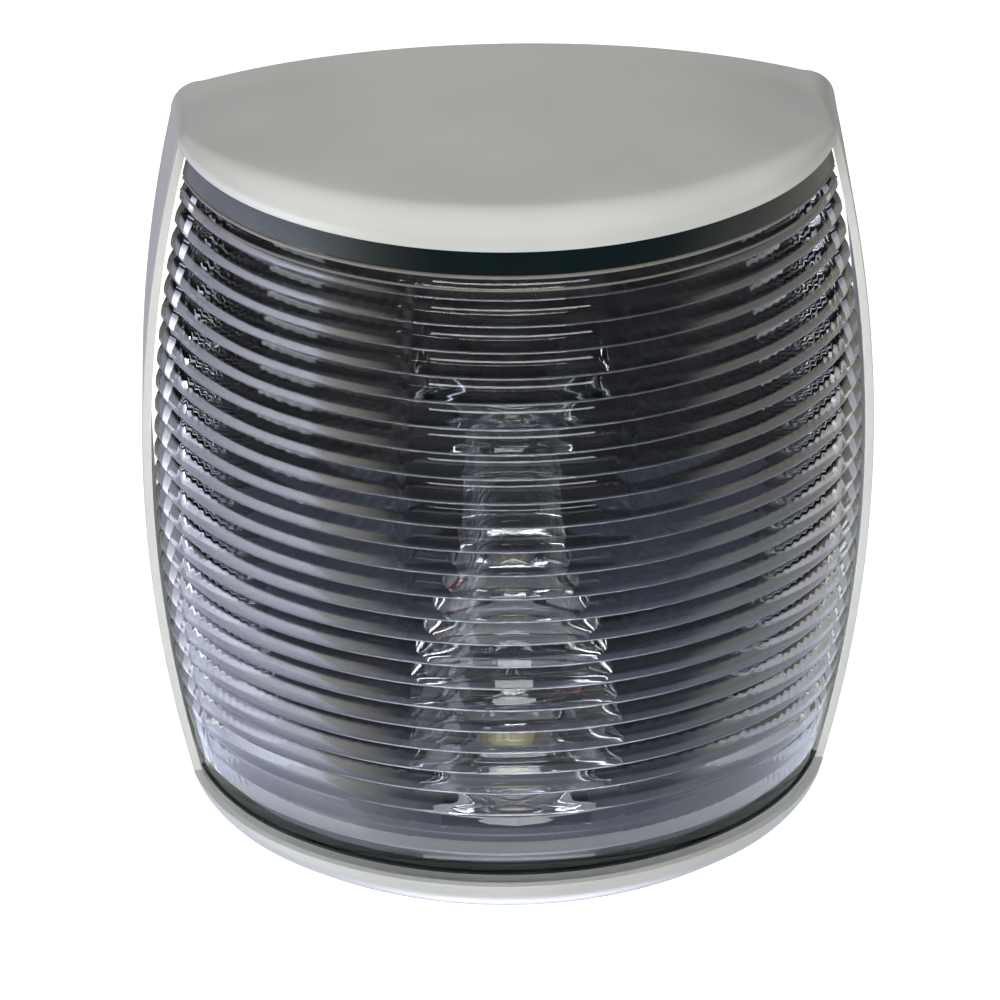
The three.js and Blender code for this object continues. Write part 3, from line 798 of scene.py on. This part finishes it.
def make_floor():
    """A plain pale floor that only the camera sees, so that the bottom rim stands out against it."""
    mesh = bmesh.new()
    for x, y in ((-1, -1), (1, -1), (1, 1), (-1, 1)):
        mesh.verts.new((x * FLOOR_HALF, y * FLOOR_HALF, FLOOR_HEIGHT))
    mesh.faces.new(mesh.verts)
    data = bpy.data.meshes.new("floor")
    mesh.to_mesh(data)
    mesh.free()
    floor = bpy.data.objects.new("floor", data)
    bpy.context.scene.collection.objects.link(floor)
    material, tree, shader = new_material("pale_floor", Base_Color=(0.9, 0.9, 0.9), Roughness=0.9)
    shader.inputs["Emission Color"].default_value = (1, 1, 1, 1)
    shader.inputs["Emission Strength"].default_value = 0.9
    data.materials.append(material)
    floor.visible_diffuse = False
    floor.visible_glossy = False
    floor.visible_transmission = False


# What stands round the lamp for mirrored rays: a turn of 0 is in front, 0.25 on the left.
WALL_STOPS = [
    (0.0, 0.0),
    (0.09, 0.0),
    (0.12, (0.22, 0.21, 0.185)),
    (0.155, (0.42, 0.41, 0.37)),
    (0.165, (0.72, 0.76, 0.88)),
    (0.22, (0.62, 0.64, 0.76)),
    (0.3, (0.27, 0.27, 0.33)),
    (0.4, (0.08, 0.08, 0.1)),
    (0.5, (0.02, 0.02, 0.02)),
    (0.6, (0.07, 0.067, 0.06)),
    (0.72, (0.14, 0.135, 0.12)),
    (0.82, (0.16, 0.155, 0.135)),
    (0.86, 0.0),
]
# How strongly the walls show by height, and the bench below with a faint ceiling. 0 is down and 1 is up.
WALL_REACH = [(0.1, 0.1), (0.2, 0.5), (0.3, 1), (0.41, 1), (0.45, 0)]
BENCH_STOPS = [
    (0, (0.8, 0.85, 1.0)),
    (0.05, (0.09, 0.1, 0.13)),
    (0.2, (0.08, 0.09, 0.12)),
    (0.28, 0),
    (0.9, 0.014),
]
ROOM_STRENGTH = 10
DIM_STRENGTH = 0.06
LOST_IN_PLASTIC = 0.8  # share of the room's strength lost once a ray has passed through something clear


def make_world():
    """White to the camera, a painted studio to mirrored rays and a dim even light to all others."""
    world = bpy.data.worlds.new("studio")
    bpy.context.scene.world = world
    world.use_nodes = True
    tree = world.node_tree
    seen = tree.nodes["Background"]
    seen.inputs["Color"].default_value = (1, 1, 1, 1)
    seen.inputs["Strength"].default_value = 1.0
    room = tree.nodes.new("ShaderNodeBackground")
    place = tree.nodes.new("ShaderNodeTexCoord")
    parts = tree.nodes.new("ShaderNodeSeparateXYZ")
    tree.links.new(place.outputs["Generated"], parts.inputs["Vector"])
    height = tree.nodes.new("ShaderNodeMapRange")
    height.inputs["From Min"].default_value = -1
    tree.links.new(parts.outputs["Z"], height.inputs["Value"])
    bench = ramp(tree, height.outputs["Result"], BENCH_STOPS)
    turn = tree.nodes.new("ShaderNodeMath")
    turn.operation = "ARCTAN2"
    tree.links.new(parts.outputs["X"], turn.inputs[0])
    tree.links.new(parts.outputs["Y"], turn.inputs[1])
    around = tree.nodes.new("ShaderNodeMapRange")
    around.inputs["From Min"].default_value = -math.pi
    around.inputs["From Max"].default_value = math.pi
    tree.links.new(turn.outputs["Value"], around.inputs["Value"])
    walls = ramp(tree, around.outputs["Result"], WALL_STOPS)
    reach = ramp(tree, height.outputs["Result"], WALL_REACH)
    lit = tree.nodes.new("ShaderNodeMix")
    lit.data_type = "RGBA"
    lit.blend_type = "MULTIPLY"
    lit.inputs["Factor"].default_value = 1
    tree.links.new(walls, lit.inputs["A"])
    tree.links.new(reach, lit.inputs["B"])
    both = tree.nodes.new("ShaderNodeMix")
    both.data_type = "RGBA"
    both.blend_type = "ADD"
    both.inputs["Factor"].default_value = 1
    tree.links.new(lit.outputs["Result"], both.inputs["A"])
    tree.links.new(bench, both.inputs["B"])
    tree.links.new(both.outputs["Result"], room.inputs["Color"])
    room.inputs["Strength"].default_value = ROOM_STRENGTH
    dim = tree.nodes.new("ShaderNodeBackground")
    dim.inputs["Color"].default_value = (0.95, 1, 0.98, 1)
    dim.inputs["Strength"].default_value = DIM_STRENGTH
    path = tree.nodes.new("ShaderNodeLightPath")
    mirrored = tree.nodes.new("ShaderNodeMixShader")
    passed = tree.nodes.new("ShaderNodeMath")
    passed.operation = "MINIMUM"
    tree.links.new(path.outputs["Transmission Depth"], passed.inputs[0])
    passed.inputs[1].default_value = 1
    weaker = tree.nodes.new("ShaderNodeMath")
    weaker.operation = "MULTIPLY_ADD"
    tree.links.new(passed.outputs["Value"], weaker.inputs[0])
    weaker.inputs[1].default_value = -LOST_IN_PLASTIC
    weaker.inputs[2].default_value = 1
    share = tree.nodes.new("ShaderNodeMath")
    share.operation = "MULTIPLY"
    tree.links.new(weaker.outputs["Value"], share.inputs[0])
    tree.links.new(path.outputs["Is Glossy Ray"], share.inputs[1])
    tree.links.new(share.outputs["Value"], mirrored.inputs["Fac"])
    tree.links.new(dim.outputs["Background"], mirrored.inputs[1])
    tree.links.new(room.outputs["Background"], mirrored.inputs[2])
    mix = tree.nodes.new("ShaderNodeMixShader")
    tree.links.new(path.outputs["Is Camera Ray"], mix.inputs["Fac"])
    tree.links.new(mirrored.outputs["Shader"], mix.inputs[1])
    tree.links.new(seen.outputs["Background"], mix.inputs[2])
    tree.links.new(mix.outputs["Shader"], tree.nodes["World Output"].inputs["Surface"])


def make_camera():
    """A camera at the photograph's viewing angle, with the lamp in the middle of the frame."""
    data = bpy.data.cameras.new("camera")
    data.sensor_width = 36
    data.lens = PIXELS_PER_METRE * CAMERA_DISTANCE / FRAME_PIXELS * data.sensor_width
    data.shift_x, data.shift_y = CAMERA_SHIFT
    data.clip_start = 0.01
    camera = bpy.data.objects.new("camera", data)
    bpy.context.scene.collection.objects.link(camera)
    flat = CAMERA_DISTANCE * math.cos(CAMERA_ELEVATION)
    rise = CAMERA_DISTANCE * math.sin(CAMERA_ELEVATION)
    offset = Vector((flat * math.sin(CAMERA_AZIMUTH), -flat * math.cos(CAMERA_AZIMUTH), rise))
    camera.location = CAMERA_TARGET + offset
    camera.rotation_euler = (-offset).to_track_quat("-Z", "Y").to_euler()
    bpy.context.scene.camera = camera


make_floor()
make_world()
make_camera()
softbox("overhead", (-0.1, 0.1, 0.9), (0, -0.02, 0), (0.6, 0.6), 3.2)
softbox("left", (-0.8, -0.3, 0.0), (0, -0.02, 0), (0.3, 0.5), 1.5, (0.9, 0.92, 1))
softbox("right", (0.8, -0.05, 0.12), (0, -0.02, 0), (0.25, 0.5), 0.7, (0.93, 1, 1))
softbox("key", (-0.15, -0.9, 0.42), (0, -0.02, 0.01), (0.9, 0.16), 5.9, (1, 0.99, 0.97))
softbox("fill", (0, -0.9, 0.0), (0, -0.02, -0.01), (0.8, 0.12), 3.0, (0.97, 1, 0.99))
bpy.context.scene.view_settings.view_transform = "Standard"
